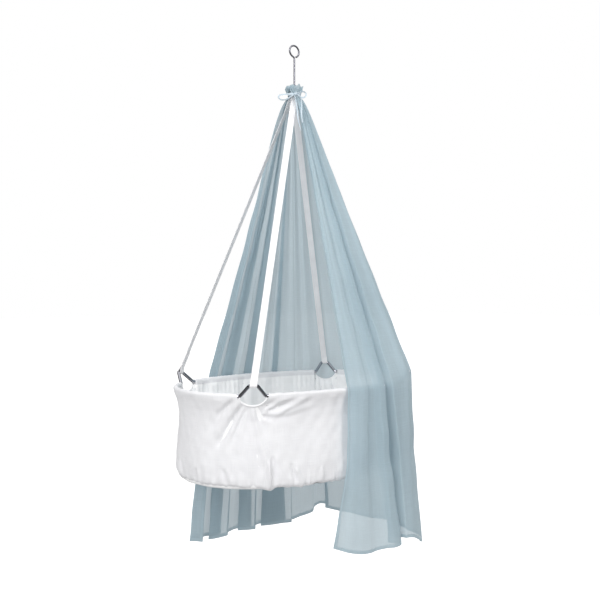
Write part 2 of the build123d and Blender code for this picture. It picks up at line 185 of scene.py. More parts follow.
def grid(name, points, uv, wrap=False):
    """A smooth mesh over rows and columns of points. With wrap its last column joins the first,
    and uv has one column more than points."""
    rows, cols = points.shape[:2]
    i, j = np.meshgrid(np.arange(rows - 1), np.arange(cols if wrap else cols - 1), indexing="ij")
    k = (j + 1) % cols

    def around(wide, right):
        return np.stack([i * wide + j, i * wide + right, (i + 1) * wide + right, (i + 1) * wide + j], -1)

    quads, corners = around(cols, k), around(uv.shape[1], j + 1)
    mesh = bpy.data.meshes.new(name)
    mesh.from_pydata(points.reshape(-1, 3).tolist(), [], quads.reshape(-1, 4).tolist())
    layer = mesh.uv_layers.new(name="cloth")
    layer.data.foreach_set("uv", uv.reshape(-1, 2)[corners.ravel()].astype(np.float32).ravel())
    mesh.shade_smooth()
    return mesh


def sealed(mesh):
    """Closes a mesh whose first or last row is one point."""
    work = bmesh.new()
    work.from_mesh(mesh)
    bmesh.ops.remove_doubles(work, verts=work.verts, dist=1e-6)
    work.to_mesh(mesh)
    work.free()
    return mesh


def unit(v):
    return v / np.maximum(np.linalg.norm(v, axis=-1, keepdims=True), 1e-9)


def ribbon(name, line, across, width, thick, edge=1.25):
    """A flat woven tape along a line of points, its width along across and its edges thicker."""
    line = np.asarray(line, float)
    along = unit(np.gradient(line, axis=0))
    across = unit(across - along * (across * along).sum(-1, keepdims=True))
    face = np.cross(along, across)
    half = [(-0.5, 0.0), (-0.49, 0.42 * edge), (-0.44, 0.5 * edge), (-0.38, 0.5), (0.0, 0.5),
            (0.38, 0.5), (0.44, 0.5 * edge), (0.49, 0.42 * edge), (0.5, 0.0)]
    outline = half + [(x, -y) for x, y in reversed(half[1:-1])]
    points = np.stack([line + across * (x * width) + face * (y * thick) for x, y in outline], 1)
    girth = np.linspace(0, 2 * width, len(outline) + 1)
    return grid(name, points, spread(girth, lengths(line)), wrap=True)


def tube_mesh(name, line, radius, sides, closed=False):
    """A round cord along a line of points."""
    line = np.asarray(line, float)
    if closed:
        along = unit(np.roll(line, -1, 0) - np.roll(line, 1, 0))
    else:
        along = unit(np.gradient(line, axis=0))
    askew = np.array([0.13, 0.21, 0.97])        # no cord here runs this way
    up = unit(np.cross(along, askew))
    side = np.cross(along, up)
    turn = np.linspace(0, 2 * math.pi, sides, endpoint=False)
    ring = up[:, None] * np.cos(turn)[None, :, None] + side[:, None] * np.sin(turn)[None, :, None]
    points = line[:, None] + ring * radius
    if closed:
        points = np.concatenate([points, points[:1]])
    uv = spread(np.linspace(0, 1, sides + 1), np.linspace(0, 1, len(points)))
    return grid(name, points, uv, wrap=True)


def joined(name, meshes):
    """Several meshes as one."""
    points, faces, uvs = [], [], []
    for mesh in meshes:
        base = len(points)
        points += [tuple(v.co) for v in mesh.vertices]
        faces += [[base + v for v in p.vertices] for p in mesh.polygons]
        uvs += [tuple(item.uv) for item in mesh.uv_layers[0].data]
        bpy.data.meshes.remove(mesh)
    whole = bpy.data.meshes.new(name)
    whole.from_pydata(points, [], faces)
    layer = whole.uv_layers.new(name="cloth")
    layer.data.foreach_set("uv", np.array(uvs, np.float32).ravel())
    whole.shade_smooth()
    return whole


# ======== materials

CLOTH_COVER = 0.86          # share of the light that the voile's threads stop
CLOTH_THROUGH = 0.38        # share of that which comes out on the other side
HEM_FOLD = 0.011            # width of the voile's hem
EDGE_SHADE_WIDTH = 0.0026       # width of the painted shade, a dark line along its very edge
RIB_PITCH, LINE_PITCH = 0.0024, 0.0031      # of the webbing, across it and along it

class Paint:
    """A short way to add nodes to a material, or to a world, and to join them. An input is named by
    its socket's name, with _ for a space, or by i and its number."""

    def __init__(self, name, world=False):
        self.owner = (bpy.data.worlds if world else bpy.data.materials).new(name)
        self.owner.use_nodes = True
        self.tree = self.owner.node_tree
        self.tree.nodes.clear()
        self.out = self.node("OutputWorld" if world else "OutputMaterial")

    def node(self, kind, **inputs):
        made = self.tree.nodes.new("ShaderNode" + kind)
        for name, value in inputs.items():
            numbered = name[0] == "i" and name[1:].isdigit()
            socket = made.inputs[int(name[1:]) if numbered else name.replace("_", " ")]
            if isinstance(value, bpy.types.NodeSocket):
                self.tree.links.new(value, socket)
            else:
                socket.default_value = value
        return made

    def math(self, operation, a, b=0.0):
        made = self.node("Math", i0=a, i1=b)
        made.operation = operation
        return made.outputs[0]

    def add(self, a, b):
        return self.math("ADD", a, b)

    def times(self, a, b):
        return self.math("MULTIPLY", a, b)

    def blend(self, a, b, share):
        """Two values mixed, with that share of the second."""
        return self.add(self.times(a, 1 - share), self.times(b, share))

    def coordinates(self, kind="uv", scale=(1, 1, 1)):
        if kind == "uv":
            source = self.node("UVMap")
            source.uv_map = "cloth"
            vector = source.outputs["UV"]
        else:
            vector = self.node("TexCoord").outputs["Object"]
        return self.node("Mapping", Vector=vector, Scale=scale).outputs[0]

    def noise(self, scale, detail, rough=0.5, kind="uv"):
        """Noise with so many spots to the metre along each direction."""
        return self.node("TexNoise", Vector=self.coordinates(kind, scale), Scale=1.0, Detail=detail,
                         Roughness=rough).outputs[0]

    def threads(self, fine, coarse):
        """The uneven threads of a weave, along both its directions."""
        warp = self.noise((fine, coarse, 1), 2.0)
        weft = self.noise((coarse, fine, 1), 2.0)
        return self.times(self.add(warp, weft), 0.5)

    def ramp(self, value, low, high, at=(0.0, 1.0)):
        """A colour between low and high as value goes from at[0] to at[1]."""
        made = self.node("ValToRGB", Fac=value)
        ends = made.color_ramp.elements
        ends[0].position, ends[1].position = at
        ends[0].color, ends[1].color = (*low, 1), (*high, 1)
        return made.outputs[0]

    def between(self, value, low, high, frm=(0.0, 1.0)):
        """A number between low and high as value goes from frm[0] to frm[1]."""
        return self.node("MapRange", Value=value, From_Min=frm[0], From_Max=frm[1],
                         To_Min=low, To_Max=high).outputs[0]

    def plain_weave(self, vector, pitch):
        """Threads over and under each other, from 0 to 1."""
        split = self.node("SeparateXYZ", Vector=vector)
        a, b = (self.math("SINE", self.times(split.outputs[k], math.pi / pitch)) for k in (0, 1))
        return self.add(self.times(self.times(a, b), 0.5), 0.5)

    def bump(self, height, strength, distance):
        return self.node("Bump", Strength=strength, Distance=distance, Height=height).outputs[0]

    def finish(self, shader):
        self.tree.links.new(shader, self.out.inputs["Surface"])
        return self.owner


def woven(name, low, high, pitch, bump=0.25, slub=60.0, wrinkle=0.0):
    """A woven fabric: threads, slubs along both directions and a faint change of shade."""
    p = Paint(name)
    uv = p.coordinates()
    threads = p.threads(slub * 14, slub * 0.5)
    cloud = p.noise((9, 9, 1), 4.0)
    colour = p.ramp(p.blend(threads, cloud, 0.4), low, high, (0.36, 0.64))
    height = p.add(p.times(p.plain_weave(uv, pitch), 0.45), threads)
    if wrinkle:
        height = p.add(height, p.times(p.noise((55, 40, 1), 5.0, 0.6), wrinkle))
    shader = p.node("BsdfPrincipled", Base_Color=colour, Roughness=0.85, Sheen_Weight=0.15,
                    Sheen_Roughness=0.6, Specular_IOR_Level=0.2, Normal=p.bump(height, bump, 0.0006))
    return p.finish(shader.outputs[0])


def metal(name, colour, rough, streak):
    """Bright metal with fine streaks and a few dull places."""
    p = Paint(name)
    fine = p.noise((500, 500, 5), 2.0, kind="object")
    dull = p.noise((25, 25, 25), 4.0, 0.6, "object")
    mixed = p.blend(fine, dull, 0.6)
    tint = p.ramp(dull, [c * 0.93 for c in colour], colour, (0.3, 0.6))
    shader = p.node("BsdfPrincipled", Base_Color=tint, Metallic=1.0,
                    Roughness=p.between(mixed, rough, rough + streak, (0.3, 0.7)),
                    Normal=p.bump(fine, 0.03, 0.0002))
    return p.finish(shader.outputs[0])


def plywood():
    """Pale wood with its grain along X and its plies on the edges."""
    p = Paint("birch_plywood")
    rings = p.noise((2.2, 38, 260), 5.0, 0.6, "object")
    fleck = p.noise((40, 700, 700), 2.0, kind="object")
    plies = p.node("TexWave", Vector=p.coordinates("object", (0, 0, 1)), Scale=110.0, Distortion=0.4)
    plies.bands_direction = "Z"
    mixed = p.blend(rings, fleck, 0.25)
    grain = p.ramp(mixed, (0.50, 0.33, 0.17), (0.80, 0.63, 0.42), (0.35, 0.62))
    dark = p.node("MixRGB", Fac=p.times(plies.outputs[1], 0.25), Color1=grain,
                  Color2=(0.35, 0.22, 0.11, 1))
    shader = p.node("BsdfPrincipled", Base_Color=dark.outputs[0], Normal=p.bump(mixed, 0.15, 0.0004),
                    Roughness=p.between(fleck, 0.42, 0.6))
    return p.finish(shader.outputs[0])


def webbing():
    """A tight ribbed tape: ribs across its width, with fine lines along it."""
    p = Paint("white_webbing")
    split = p.node("SeparateXYZ", Vector=p.coordinates())
    ribs = p.math("SINE", p.times(split.outputs[1], 2 * math.pi / RIB_PITCH))
    lines = p.math("SINE", p.times(split.outputs[0], 2 * math.pi / LINE_PITCH))
    height = p.add(p.times(ribs, 0.5), p.times(lines, 0.25))
    cloud = p.noise((60, 20, 1), 4.0)
    # painted shade: the colour follows the height of the ribs and lines, darker in their grooves, over a
    # random change of tone
    shade = p.add(p.times(height, 0.25), cloud)
    colour = p.ramp(shade, (0.84, 0.83, 0.84), (0.95, 0.94, 0.95), (0.25, 0.75))
    shader = p.node("BsdfPrincipled", Base_Color=colour, Roughness=0.7, Sheen_Weight=0.1,
                    Normal=p.bump(height, 0.5, 0.0004))
    return p.finish(shader.outputs[0])


def voile(width, height):
    """The canopy's thin cotton: light comes through, and it is denser at its hem and its seam."""
    p = Paint("blue_grey_voile")
    uv = p.coordinates()
    threads = p.threads(620, 14)
    cloud = p.noise((5, 3, 1), 3.0)
    colour = p.ramp(p.blend(threads, cloud, 0.65), (0.485, 0.605, 0.665), (0.56, 0.68, 0.735),
                    (0.32, 0.68))
    split = p.node("SeparateXYZ", Vector=uv)
    side = p.math("MINIMUM", split.outputs[0], p.math("SUBTRACT", width, split.outputs[0]))
    low = p.math("SUBTRACT", height, split.outputs[1])
    inward = p.math("MINIMUM", side, low)
    hem = p.between(inward, 1.0, 0.0, (HEM_FOLD, HEM_FOLD + 0.0008))
    seam = p.math("COMPARE", inward, HEM_FOLD)
    seam.node.inputs[2].default_value = 0.0009
    # painted shade: the colour darkens towards the cloth's very edge; the faint dark line at the hem's seam
    # is the seam's own
    edge_shade = p.between(inward, 0.30, 0.0, (0.0004, EDGE_SHADE_WIDTH))
    colour = p.node("MixRGB", Fac=p.math("MAXIMUM", edge_shade, p.times(seam, 0.12)), Color1=colour,
                    Color2=(0.10, 0.15, 0.19, 1)).outputs[0]
    cover = p.between(threads, CLOTH_COVER - 0.03, CLOTH_COVER + 0.03, (0.38, 0.62))
    cover = p.add(cover, p.times(hem, 0.16))
    cover = p.math("MINIMUM", p.add(cover, p.times(seam, 0.1)), 1.0)
    bump = p.bump(p.add(p.times(p.plain_weave(uv, 0.0006), 0.4), threads), 0.2, 0.0005)
    front = p.node("BsdfPrincipled", Base_Color=colour, Roughness=0.9, Sheen_Weight=0.1,
                   Specular_IOR_Level=0.1, Normal=bump)
    through = p.node("BsdfTranslucent", Color=colour, Normal=bump)
    cloth = p.node("MixShader", Fac=CLOTH_THROUGH, i1=front.outputs[0], i2=through.outputs[0])
    clear = p.node("BsdfTransparent")
    return p.finish(p.node("MixShader", Fac=cover, i1=clear.outputs[0], i2=cloth.outputs[0]).outputs[0])


# ======== camera, stage and light

CAMERA_PLACE = (-1.508, -2.008, -0.857)
CAMERA_TURN = math.radians(-36.91)          # about the upright; the camera looks level
CAMERA_LENS = 42.88
CAMERA_SHIFT = (0.0094, -0.0077)
FLOOR_Z = -2.2
FLOOR_REACH = 40.0
FLOOR_GLOW = 0.78           # only the camera sees it
ROOM_LOW, ROOM_HIGH = 0.32, 0.76            # light from below and from above


def make_camera():
    data = bpy.data.cameras.new("camera")
    camera = add_object("camera", data)
    camera.location = CAMERA_PLACE
    camera.rotation_euler = (math.radians(90), 0, CAMERA_TURN)
    data.lens = CAMERA_LENS
    data.shift_x, data.shift_y = CAMERA_SHIFT
    data.clip_end = 100
    bpy.context.scene.camera = camera


def make_stage():
    """A pale floor below the hanging cradle."""
    mesh = bpy.data.meshes.new("floor")
    corners = [(x * FLOOR_REACH, y * FLOOR_REACH, FLOOR_Z) for x, y in ((-1, -1), (1, -1), (1, 1), (-1, 1))]
    mesh.from_pydata(corners, [], [(0, 1, 2, 3)])
    floor = add_object("floor", mesh)
    p = Paint("pale_floor")
    speck = p.noise((3, 3, 3), 4.0, kind="object")
    colour = p.ramp(speck, (0.55, 0.55, 0.55), (0.58, 0.58, 0.58))
    seen = p.node("LightPath").outputs
    colour = p.node("MixRGB", Fac=seen["Is Glossy Ray"], Color1=colour, Color2=(0.12, 0.12, 0.12, 1))
    shader = p.node("BsdfPrincipled", Base_Color=colour.outputs[0], Roughness=0.9,
                    Emission_Color=(1, 1, 1, 1),
                    Emission_Strength=p.times(seen["Is Camera Ray"], FLOOR_GLOW))
    mesh.materials.append(p.finish(shader.outputs[0]))


def lamp(name, place, aim, size, power):
    data = bpy.data.lights.new(name, "AREA")
    data.size, data.energy = size, power
    light = add_object(name, data)
    light.location = place
    light.rotation_euler = (Vector(aim) - Vector(place)).to_track_quat("-Z", "Y").to_euler()


def make_light():
    """A white room that metal mirrors as dark up to well above the horizon, and two soft lamps."""
    p = Paint("studio", world=True)
    split = p.node("SeparateXYZ", Vector=p.node("TexCoord").outputs["Generated"])
    seen = p.node("LightPath").outputs
    by_gloss = p.node("MixRGB", Fac=seen["Is Glossy Ray"],
                      Color1=p.between(split.outputs[2], ROOM_LOW, ROOM_HIGH, (-0.2, 0.6)),
                      Color2=p.between(split.outputs[2], 0.03, 1.0, (0.45, 0.60)))
    by_camera = p.node("MixRGB", Fac=seen["Is Camera Ray"], Color1=by_gloss.outputs[0],
                       Color2=(1, 1, 1, 1))
    background = p.node("Background", Color=by_camera.outputs[0])
    bpy.context.scene.world = p.finish(background.outputs[0])
    lamp("key", (0.5, -3.7, 1.7), (0.1, 0, -1.0), 1.4, 63)
    lamp("fill", (-3.7, -2.1, 1.3), (-0.1, 0, -1.1), 1.6, 104)
    view = bpy.context.scene.view_settings
    view.view_transform, view.look = "Standard", "None"


# ======== tie tape: the cords

BOW_BEARING = math.radians(233.1)
TAPE_W = 5.0 * MM
TAPE_T = 0.7 * MM
# Routes in the bow's own plane: to its right, outward, height, in thousandths
LOOP_LEFT = [
    (-1, 28, -158), (-12, 33, -157.5), (-26, 35, -160), (-40, 36, -161), (-53, 37, -164),
    (-56, 38, -172), (-48, 38, -180), (-34, 37, -181), (-20, 35, -174), (-9, 33, -165),
    (-1.5, 30, -160),
]
LOOP_RIGHT = [
    (7.5, 28, -157), (16, 32, -153.5), (27, 33, -150), (37, 34, -152), (42, 35, -160), (38, 35, -170),
    (28, 35, -172.5), (18, 34, -167), (8.5, 31, -161),
]
TAIL_LEFT = [
    (1, 31, -163), (2.5, 36, -172), (5.5, 40.5, -185), (8.5, 45.5, -202), (10, 51, -222),
    (11.5, 56, -243), (14.5, 60, -262), (20, 63, -279), (22.5, 65, -292),
]
TAIL_RIGHT = [
    (6.5, 31, -161), (16, 39, -166), (23, 44, -176), (25.5, 49, -192), (25, 54, -211), (24, 59, -231),
    (25.5, 63, -250), (28, 66, -266),
]
KNOT = (-14.0, -24.5, -158.0)               # its centre in the frame, in thousandths
KNOT_DEEP, KNOT_LONG = 0.0036, 0.0046       # half sizes of its strands


def bow_place(right, outward, height):
    """A point of the bow's own plane, in the frame."""
    c, s = math.cos(BOW_BEARING), math.sin(BOW_BEARING)
    return np.array([outward * c - right * s, outward * s + right * c, height]) * MM


def spline_points(route):
    """The points of the smooth line that a route's points control."""
    data = bpy.data.curves.new("route", "CURVE")
    data.dimensions = "3D"
    data.resolution_u = 10
    spline = data.splines.new("NURBS")
    spline.points.add(len(route) - 1)
    for point, place in zip(spline.points, route):
        point.co = (*bow_place(*place), 1)
    spline.order_u = 3
    spline.use_endpoint_u = True
    line = add_object("route", data)
    bpy.context.view_layer.update()
    mesh = bpy.data.meshes.new_from_object(line)
    points = np.array([v.co for v in mesh.vertices], float)
    bpy.data.objects.remove(line)
    bpy.data.curves.remove(data)
    bpy.data.meshes.remove(mesh)
    return points


def bow_tape(name, route, turn, paint):
    """A flat tape along a route, turned about it by turn(share) degrees."""
    line = spline_points(route)
    share = np.linspace(0, 1, len(line))
    along = unit(np.gradient(line, axis=0))
    out = bow_place(0, 1, 0) / MM
    flat = unit(np.cross(along, np.broadcast_to(out, along.shape)))
    other = np.cross(along, flat)
    angle = np.radians([turn(t) for t in share])[:, None]
    across = flat * np.cos(angle) + other * np.sin(angle)
    mesh = ribbon(name + "_ribbon", line, across, TAPE_W, TAPE_T, edge=1.1)
    piece = put(mesh, paint, "cradle", "tape", name)
    length = float(lengths(line)[-1])


def make_bow(paint):
    for name, route, turn, far_end in (
            ("bow_loop_left", LOOP_LEFT, lambda t: 22 - 25 * math.sin(2 * math.pi * t), "object"),
            ("bow_loop_right", LOOP_RIGHT, lambda t: 25 + 25 * math.sin(2 * math.pi * t), "object"),
            ("tie_tail_left", TAIL_LEFT, lambda t: 55 - 110 * t, "bare"),
            ("tie_tail_right", TAIL_RIGHT, lambda t: 80 - 120 * t, "bare")):
        bow_tape(name, route, turn, paint)


# ======== bag

BAG_DEPTH = 0.288
BOTTOM_Z = RIM_Z - BAG_DEPTH
ROLL_R = 0.0082             # the fabric's roll round the rim tube
FLAP = 0.024                # the casing's flap inside the bag
CUT_HALF_W = 0.042
CUT_DEPTH = 0.030
CUT_LEAST = 0.009           # depth of a cut-out at its two corners
EDGE_FOLD = 0.0022          # half the thickness of a cut-out's folded edge
NEAR_CUT = 0.050            # columns are close together this near to a peak
BAG_COLUMN = 0.0042         # width of the other columns
# Height above the underside and offset of the wall from the rim's oval
WALL_SHAPE = [
    (0.0, -0.013), (0.004, -0.007), (0.012, -0.003), (0.03, -0.001), (0.07, -0.001), (0.12, -0.004),
    (0.17, -0.008), (0.21, -0.0095), (0.24, -0.007), (0.262, -0.001), (0.277, 0.0055),
    (BAG_DEPTH, ROLL_R),
]
# Folds of the wall, in thousandths: place along the rim and height where each starts and ends, its
# width and its depth
WALL_FOLDS = [
    (1470, 250, 1408, 12, 12, 3.6), (1452, 246, 1436, 20, 18, -1.6), (1405, 100, 1392, 4, 10, -4),
    (1420, 90, 1416, 0, 6, 4), (1500, 262, 1600, 105, 10, -4.2), (1512, 270, 1640, 120, 14, 3),
    (1492, 250, 1545, 120, 9, -3), (1530, 276, 1590, 215, 8, -3), (1432, 254, 1395, 272, 8, -4),
    (1420, 240, 1330, 274, 10, -4.5), (1400, 228, 1290, 262, 12, 3), (1370, 235, 1260, 274, 9, -3),
    (1440, 225, 1400, 218, 8, -3), (1330, 60, 1306, 6, 8, 4), (1345, 75, 1318, 8, 9, -3),
    (1240, 55, 1232, 6, 8, 2.5), (1560, 60, 1548, 4, 9, -2.5), (1660, 55, 1672, 4, 9, -3),
    (1760, 65, 1752, 4, 10, 3), (1955, 255, 1890, 150, 12, -3.5), (1985, 250, 2040, 120, 12, -3.5),
    (310, 250, 260, 110, 12, -3.5), (335, 250, 400, 130, 12, -3.5), (810, 250, 740, 120, 12, -3.5),
    (838, 250, 900, 110, 12, -3.5),
]


def columns_round():
    """Places along the rim, closer together at the cut-outs."""
    peaks = sorted(PEAKS.values())
    places = []
    for peak, following in zip(peaks, peaks[1:] + [peaks[0] + RIM_LENGTH]):
        start, end = peak + NEAR_CUT, following - NEAR_CUT
        places.append(np.linspace(peak - NEAR_CUT, start, 51)[:-1])
        places.append(np.linspace(start, end, int((end - start) / BAG_COLUMN) + 1)[:-1])
    return np.sort(np.concatenate(places) % RIM_LENGTH)


def from_peak(s):
    """Signed distance along the rim to the nearest peak."""
    gaps = np.stack([short_way(s - peak) for peak in PEAKS.values()])
    nearest = np.abs(gaps).argmin(0)
    return np.take_along_axis(gaps, nearest[None], 0)[0]


def cut_edge(gap):
    """How far below the rim's centre the cloth's top edge is, at a distance from a peak."""
    inside = np.clip(1 - (gap / CUT_HALF_W)**2, 0, 1)
    return CUT_DEPTH * np.sqrt(inside)


def along_tube(gap):
    """Whether the cloth goes round the rim's tube there, and isn't cut out."""
    return np.abs(gap) > PEAK_SPAN * END_R


def end_lift(s):
    """The bag's corner is rounder at its two ends, and most at the left one."""
    x = rim(s)[0]
    return 0.012 * step(-x, 0.15, 0.42) + 0.006 * step(x, 0.15, 0.42)


def scallops(s):
    """Small ups and downs of the bag's lowest seam."""
    return 0.0012 * waves(s, 0.03, 32, 7, RIM_LENGTH)


def wall_folds(s, h):
    """The folds of WALL_FOLDS: each is a crease that fades at both ends, with a swell beside it."""
    total = np.zeros(np.broadcast(s, h).shape)
    for s0, h0, s1, h1, width, depth in np.array(WALL_FOLDS) / 1000:
        ds, dh = s1 - s0, h1 - h0
        length = math.hypot(ds, dh)
        rs = short_way(s - s0)
        t = (rs * ds + (h - h0) * dh) / length**2
        away = (rs * dh - (h - h0) * ds) / length
        fade = 1.5 * step(t, -0.08, 0.12) * (1 - step(t, 0.55, 1.1))
        wide = width * (0.6 + 0.55 * np.clip(t, 0, 1))
        total += depth * fade * np.exp(-(away / wide)**2)
        total -= 0.45 * depth * fade * np.exp(-((np.abs(away) - 2.0 * wide) / wide)**2)
    return total


def wall_relief(s, h):
    """How far the wall stands out of its plain shape: folds, hollows and the gathered bottom."""
    gather = waves(s, 0.021, 3, 9, RIM_LENGTH)
    gather = np.sign(gather) * np.abs(gather)**1.3
    wide_gather = waves(s, 0.085, 5, 7, RIM_LENGTH)
    low = np.exp(-h / 0.020)
    relief = 0.0028 * gather * low + 0.0022 * wide_gather * np.exp(-h / 0.055)
    relief = relief + 0.0016 * waves2(s, h, 0.16, 11, 9, RIM_LENGTH) * step(h, 0.0, 0.05)
    relief = relief + 0.0006 * waves2(s, h, 0.045, 12, 12, RIM_LENGTH)
    upper = step(h, 0.19, 0.262)
    relief = relief + 0.0011 * waves(s, 0.05, 21, 7, RIM_LENGTH) * upper * (1 - step(h, 0.272, 0.286))
    return relief + wall_folds(s, h)


def wall_offset(h):
    """How far outside the rim's oval the plain wall is, at a height."""
    heights, offsets = zip(*WALL_SHAPE)
    fine = np.linspace(0, BAG_DEPTH, 289)
    soft = smoothed(np.interp(fine, heights, offsets), 3.0)
    return np.interp(h, fine, soft)


def bag_wall(s):
    """The outer wall, over the rim tube and down inside as the casing's flap."""
    gap = from_peak(s)
    open_rim = along_tube(gap)
    top = np.where(open_rim, BAG_DEPTH, BAG_DEPTH - np.maximum(cut_edge(gap), CUT_LEAST))
    share = np.concatenate([np.linspace(0, 0.12, 12)[:-1], np.linspace(0.12, 1, 52)])
    h = share[:, None] * top[None, :]
    relief = wall_relief(s[None, :], h)
    free = 1 - step(h, BAG_DEPTH - 0.014, BAG_DEPTH - 0.002)
    seam = 1 - 0.75 * np.exp(-h / 0.0035)
    offset = wall_offset(h) + relief * free * seam
    lift = end_lift(s)[None, :] * np.exp(-h / 0.045)
    low_corner = 0.0085 * np.exp(-((s - 1.412) / 0.016)**2)
    scallop = 0.0022 * waves(s, 0.10, 31, 6, RIM_LENGTH) + scallops(s) - low_corner
    z = BOTTOM_Z + h + lift + scallop[None, :] * np.exp(-h / 0.018)
    rows = list(on_rim(s[None, :], offset, z))
    pucker = 0.0005 * waves(s, 0.012, 41, 9, RIM_LENGTH) + 0.0005 * waves(s, 0.04, 42, 7, RIM_LENGTH)
    for angle in np.linspace(0, math.pi, 15)[1:]:
        reach = ROLL_R + pucker * math.sin(angle)
        folded = wall_offset(top) - EDGE_FOLD * (1 - math.cos(angle))
        fold_z = BOTTOM_Z + top + EDGE_FOLD * math.sin(angle)
        rows.append(on_rim(s, np.where(open_rim, reach * math.cos(angle), folded),
                           np.where(open_rim, RIM_Z + reach * math.sin(angle), fold_z)))
    for down in np.linspace(0, FLAP, 6)[1:]:
        inward = np.where(open_rim, -ROLL_R + inner_relief(s, down), wall_offset(top) - 0.0045)
        rows.append(on_rim(s, inward, np.where(open_rim, RIM_Z - down, BOTTOM_Z + top - down * 0.2)))
    points = np.stack(rows)
    uv = spread_round(s, lengths(points))
    return grid("bag_wall", points[::-1], uv[::-1], wrap=True)


def inner_relief(s, down):
    """Upright gathers of the bag's inside, deepest just under the rim."""
    narrow = waves(s, 0.024, 51, 9, RIM_LENGTH)
    wide = waves(s, 0.075, 52, 7, RIM_LENGTH)
    ease = step(np.asarray(down), 0.0, 0.02)
    return ease * (0.0019 * narrow * np.exp(-down / 0.09) + 0.0028 * wide * np.exp(-down / 0.20) - 0.0012)


def bag_lining(s):
    """The inner wall and the floor of the bag."""
    gap = from_peak(s)
    open_rim = along_tube(gap)
    top = np.where(open_rim, FLAP * 0.45, np.maximum(cut_edge(gap), CUT_LEAST) + 0.001)
    floor_depth = BAG_DEPTH - 0.0042
    rows = []
    for t in np.linspace(0, 1, 44):
        down = top + (floor_depth - top) * t
        h = BAG_DEPTH - down
        inward = np.minimum(wall_offset(np.clip(h, 0, BAG_DEPTH)), -0.0055) - 0.0055
        inward = np.where(open_rim, inward, wall_offset(h) - 0.0046)
        rows.append(on_rim(s, inward + inner_relief(s, down) * (0.35 if t == 0 else 1.0), RIM_Z - down))
    floor_edge = rows[-1]
    rows += [floor_edge * [share, share, 1] for share in np.linspace(1, 0, 17)[1:]]
    points = np.stack(rows)
    uv = spread_round(s, lengths(points))
    return sealed(grid("bag_lining", points[::-1], uv[::-1], wrap=True))


def bag_bottom(s):
    """The underside, drawn a little up at its seam."""
    outer_edge = on_rim(s, wall_offset(0) - 0.0005, 0)
    rows = []
    for share in np.linspace(0, 1, 26):
        z = BOTTOM_Z + 0.0012 * share**4 + (end_lift(s) + scallops(s)) * step(share, 0.86, 1.0)
        z = z + 0.0009 * waves2(outer_edge[:, 0] * share, outer_edge[:, 1] * share, 0.12, 61)
        rows.append(outer_edge * [share, share, 0] + np.stack([0 * z, 0 * z, z], -1))
    uv = spread_round(s, np.linspace(0, 0.35, len(rows)))
    return sealed(grid("bag_bottom", np.stack(rows)[::-1], uv[::-1], wrap=True))


def cut_binding(corner):
    """A narrow folded tape over the edge of one cut-out."""
    peak = PEAKS[corner]
    turn = np.linspace(math.radians(6), math.radians(174), 60)
    gap = -CUT_HALF_W * np.cos(turn)
    down = np.maximum(CUT_DEPTH * np.sin(turn), 0.006)
    offset = wall_offset(BAG_DEPTH - down) - 0.0022
    line = on_rim(peak + gap, offset + 0.0004 * waves(gap, 0.012, 71), RIM_Z - down)
    return tube_mesh(f"cut_tape_{corner}", line, 0.0028, 12)


def make_bag():
    cotton = woven("white_cotton", (0.745, 0.745, 0.765), (0.83, 0.83, 0.845), 0.0011, bump=0.18,
                   slub=40, wrinkle=0.8)
    inside = woven("white_lining", (0.88, 0.88, 0.885), (0.95, 0.95, 0.955), 0.0011, bump=0.18,
                   slub=40, wrinkle=0.8)
    tape = woven("white_binding", (0.86, 0.86, 0.87), (0.93, 0.93, 0.94), 0.0008, slub=90)
    s = columns_round()
    put(bag_wall(s), cotton, "cradle", "cotton", "outer_wall", "rim_casing_near", "rim_casing_far",
        "rim_casing_left", "rim_casing_right")
    put(bag_lining(s), inside, "cradle", "lining", "lining")
    put(bag_bottom(s), cotton, "cradle", "cotton", "bottom_panel")
    for corner in CORNERS:
        put(cut_binding(corner), tape, "cradle", "binding", f"cut_binding_{corner}")


# ======== straps

STRAP_W = 0.022
STRAP_T = 0.0015
LOOP_LENGTH = 0.035         # from the peak's tube up to the lap
LAP_LENGTH = 0.040          # where the strap's end is sewn to itself
LAP_END = LOOP_LENGTH + LAP_LENGTH
LINK_R = 0.0025
STITCH = 0.003
THREAD_R = 0.00035
ALONG_BAR = np.array([1.0, 0, 0])


def peak_top(corner):
    """The middle of a peak's top, and the directions along the rim and outward there."""
    sx, sy = CORNERS[corner]
    out = np.array([sx * math.cos(PEAK_ANGLE), sy * math.sin(PEAK_ANGLE), 0])
    along = np.array([-out[1], out[0], 0])
    up = out * math.sin(PEAK_LEAN) + np.array([0, 0, math.cos(PEAK_LEAN)])
    foot = np.array([sx * END_X, 0, RIM_Z]) + out * END_R * math.cos(PEAK_SPAN)
    return foot + up * PEAK_HEIGHT, along, out


def strap_frame(corner, top):
    """A strap's lower end: its place, the way up it, the way up square to the peak's tube, and the
    directions across the strap and out of its face."""
    peak, along, out = peak_top(corner)
    wide = along if along[0] > 0 else -along
    aim = unit(top - peak)
    pull = unit(aim - wide * (aim @ wide))
    run = pull + wide * (aim @ wide) / (aim @ pull)
    face = np.cross(wide, pull) * (1 if np.cross(wide, pull) @ out > 0 else -1)
    return peak, run, pull, wide, face


